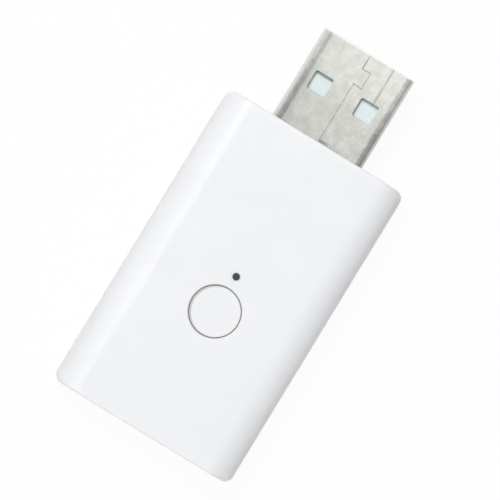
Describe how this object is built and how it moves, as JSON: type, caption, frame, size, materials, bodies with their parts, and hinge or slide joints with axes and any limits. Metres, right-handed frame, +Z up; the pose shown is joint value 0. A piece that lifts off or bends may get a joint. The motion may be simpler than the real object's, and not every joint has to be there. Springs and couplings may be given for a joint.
{
  "type": "usb zigbee repeater",
  "caption": "Flat stick-shaped radio repeater: a rounded white housing with a push button and a small indicator on its face, and a USB-A plug at its front end.",
  "frame": {"origin": "middle of the footprint, plug included, on the face that the stick rests on", "axes": "+Y from the tail to the plug's tip, +Z up from the resting face to the face with the button, +X to the right with the plug pointing away"},
  "size_m": [0.0238, 0.0512, 0.009],
  "materials": {
    "housing_white": "satin gloss white plastic",
    "button_white": "satin gloss white plastic",
    "smoked_clear": "dark smoked clear plastic",
    "nickel": "satin nickel plated steel with fine scratches",
    "insulator_white": "pale cold white moulding",
    "gold_contact": "gold flashed contact",
    "board_green": "green solder resist",
    "copper_track": "copper under a gold flash",
    "solder": "bright solder",
    "package_black": "black moulded package",
    "ceramic_tan": "tan ceramic",
    "ceramic_black": "black ceramic",
    "tinned_metal": "tinned or stainless sheet",
    "led_clear": "clear resin",
    "switch_black": "black plastic"
  },
  "bodies": {
    "housing": {"top_cover": "housing_white", "bottom_cover": "housing_white", "light_pipe": "smoked_clear", "plug_shell": "nickel", "plug_insulator": "insulator_white", "plug_contact_vbus": "gold_contact", "plug_contact_dminus": "gold_contact", "plug_contact_dplus": "gold_contact", "plug_contact_gnd": "gold_contact", "circuit_board": "board_green", "shell_solder": "solder", "contact_solder": "solder", "antenna_trace": "copper_track", "radio_chip": "package_black", "crystal": "tinned_metal", "decoupling_capacitors": "ceramic_tan", "pull_resistors": "ceramic_black", "rf_inductor": "ceramic_black", "rf_capacitor": "ceramic_tan", "voltage_regulator": "package_black", "regulator_leads": "tinned_metal", "ferrite_bead": "ceramic_black", "input_capacitor": "ceramic_tan", "output_capacitor": "ceramic_tan", "led_body": "tinned_metal", "led_lens": "led_clear", "switch_base": "switch_black", "switch_terminals": "tinned_metal", "switch_dome": "tinned_metal", "switch_frame": "tinned_metal"},
    "button": {"button_cap": "button_white", "switch_plunger": "switch_black"}
  },
  "joints": [
    {"name": "button_press", "type": "slide", "parent": "housing", "child": "button", "axis": [0, 0, -1], "range_m": [0, 0.00025], "stiffness_N_per_m": 6400, "deforming": ["switch_dome"]}
  ]
}
